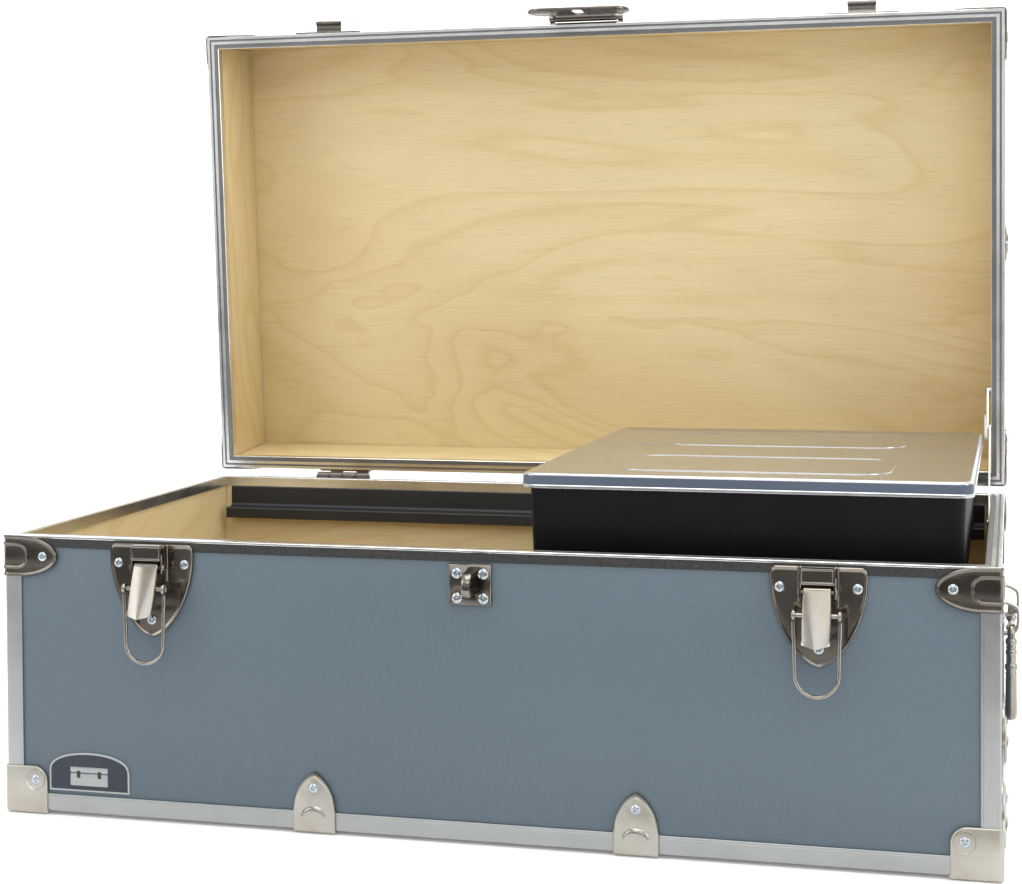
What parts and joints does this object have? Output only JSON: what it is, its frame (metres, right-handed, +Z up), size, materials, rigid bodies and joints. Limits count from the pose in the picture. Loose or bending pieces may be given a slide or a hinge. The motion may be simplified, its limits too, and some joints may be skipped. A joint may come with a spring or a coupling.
{
  "type": "footlocker",
  "caption": "Rectangular plywood trunk with metal edging, a hinged lid on a folding stay, draw latches, a hasp, side handles and a covered tray sliding on inner rails.",
  "frame": {"origin": "on the floor, at the middle of the object's box in its rest pose, with the lid open", "axes": "+X to the right along the trunk's length, +Y to the back where the hinges are, +Z up"},
  "size_m": [0.8396, 0.6004, 0.7121],
  "materials": {
    "laminated_board": "plywood with a speckled blue-grey laminate outside and bare pale birch inside",
    "edge_trim": "satin",
    "nickel": "nickel plated sheet steel, bright",
    "rail_plastic": "matte black",
    "tray_cover_plastic": "silver-grey, satin gloss"
  },
  "bodies": {
    "trunk": {"base_front_board": "laminated_board", "base_back_board": "laminated_board", "base_left_board": "laminated_board", "base_right_board": "laminated_board", "base_floor_board": "laminated_board", "base_rim_channel": "edge_trim", "base_edge_trim": "edge_trim", "base_rim_cap_front_left": "nickel", "base_rim_cap_front_right": "nickel", "base_rim_cap_back_right": "nickel", "base_rim_cap_back_left": "nickel", "base_foot_cap_front_left": "nickel", "base_foot_cap_front_right": "nickel", "base_foot_cap_back_right": "nickel", "base_foot_cap_back_left": "nickel", "edge_clamp_front_left": "nickel", "edge_clamp_front_right": "nickel", "edge_clamp_back_left": "nickel", "edge_clamp_back_right": "nickel", "edge_clamp_left_front": "nickel", "edge_clamp_left_back": "nickel", "edge_clamp_right_front": "nickel", "edge_clamp_right_back": "nickel", "latch_plate_left": "nickel", "latch_plate_right": "nickel", "padlock_staple": "nickel", "base_hinge_leaf_left": "nickel", "base_hinge_leaf_right": "nickel", "handle_bracket_left": "nickel", "handle_bracket_right": "nickel", "tray_rail_front": "rail_plastic", "tray_rail_back": "rail_plastic"},
    "lid": {"lid_front_board": "laminated_board", "lid_back_board": "laminated_board", "lid_left_board": "laminated_board", "lid_right_board": "laminated_board", "lid_top_board": "laminated_board", "lid_rim_channel": "edge_trim", "lid_edge_trim": "edge_trim", "lid_top_cap_front_left": "nickel", "lid_top_cap_front_right": "nickel", "lid_top_cap_back_right": "nickel", "lid_top_cap_back_left": "nickel", "lid_catch_left": "nickel", "lid_catch_right": "nickel", "hasp_base": "nickel", "lid_hinge_leaf_left": "nickel", "lid_hinge_leaf_right": "nickel"},
    "hasp": {"hasp_flap": "nickel"},
    "stay_lower": {"lid_stay_lower_link": "edge_trim"},
    "stay_upper": {"lid_stay_upper_link": "edge_trim"},
    "tray": {"tray_box": "rail_plastic"},
    "tray_cover": {"tray_cover": "tray_cover_plastic"},
    "lever_left": {"latch_lever_left": "nickel"},
    "bail_left": {"latch_bail_left": "nickel"},
    "handle_left": {"handle_bail_left": "nickel"},
    "lever_right": {"latch_lever_right": "nickel"},
    "bail_right": {"latch_bail_right": "nickel"},
    "handle_right": {"handle_bail_right": "nickel"}
  },
  "joints": [
    {"name": "lid_hinge", "type": "hinge", "parent": "trunk", "child": "lid", "pos_m": [0, 0.19371, 0.2352], "axis": [-1, 0, 0], "range_deg": [-86, 0]},
    {"name": "hasp_hinge", "type": "hinge", "parent": "lid", "child": "hasp", "pos_m": [0, 0.16795, 0.70395], "axis": [-1, 0, 0], "range_deg": [-8, 107]},
    {"name": "latch_lever_left", "type": "hinge", "parent": "trunk", "child": "lever_left", "pos_m": [-0.2725, -0.27819, 0.2127], "axis": [-1, 0, 0], "range_deg": [-10, 70]},
    {"name": "latch_bail_left", "type": "hinge", "parent": "lever_left", "child": "bail_left", "pos_m": [-0.2725, -0.28493, 0.19601], "axis": [1, 0, 0], "range_deg": [-194.5, 5]},
    {"name": "latch_lever_right", "type": "hinge", "parent": "trunk", "child": "lever_right", "pos_m": [0.2725, -0.27819, 0.2127], "axis": [-1, 0, 0], "range_deg": [-10, 70]},
    {"name": "latch_bail_right", "type": "hinge", "parent": "lever_right", "child": "bail_right", "pos_m": [0.2725, -0.28493, 0.19601], "axis": [1, 0, 0], "range_deg": [-194.5, 5]},
    {"name": "handle_left", "type": "hinge", "parent": "trunk", "child": "handle_left", "pos_m": [-0.413, -0.04118, 0.1567], "axis": [0, 1, 0], "range_deg": [0, 90]},
    {"name": "handle_right", "type": "hinge", "parent": "trunk", "child": "handle_right", "pos_m": [0.413, -0.04118, 0.1567], "axis": [0, -1, 0], "range_deg": [0, 90]},
    {"name": "tray_slide", "type": "slide", "parent": "trunk", "child": "tray", "axis": [1, 0, 0], "range_m": [-0.425, 0]},
    {"name": "tray_cover_lift", "type": "slide", "parent": "tray", "child": "tray_cover", "axis": [0, 0, 1], "range_m": [0, 0.12]},
    {"name": "stay_lower_pivot", "type": "hinge", "parent": "trunk", "child": "stay_lower", "pos_m": [0.3933, 0.13881, 0.212], "axis": [-1, 0, 0], "range_deg": [-83.3, 0]},
    {"name": "stay_upper_pivot", "type": "hinge", "parent": "lid", "child": "stay_upper", "pos_m": [0.3933, 0.21582, 0.331], "axis": [-1, 0, 0], "range_deg": [0, 160.6]}
  ],
  "couplings": [
    {"joint": "stay_lower_pivot", "follows": "lid_hinge", "ratio": 0.96744},
    {"joint": "stay_upper_pivot", "follows": "lid_hinge", "ratio": -1.8663}
  ]
}
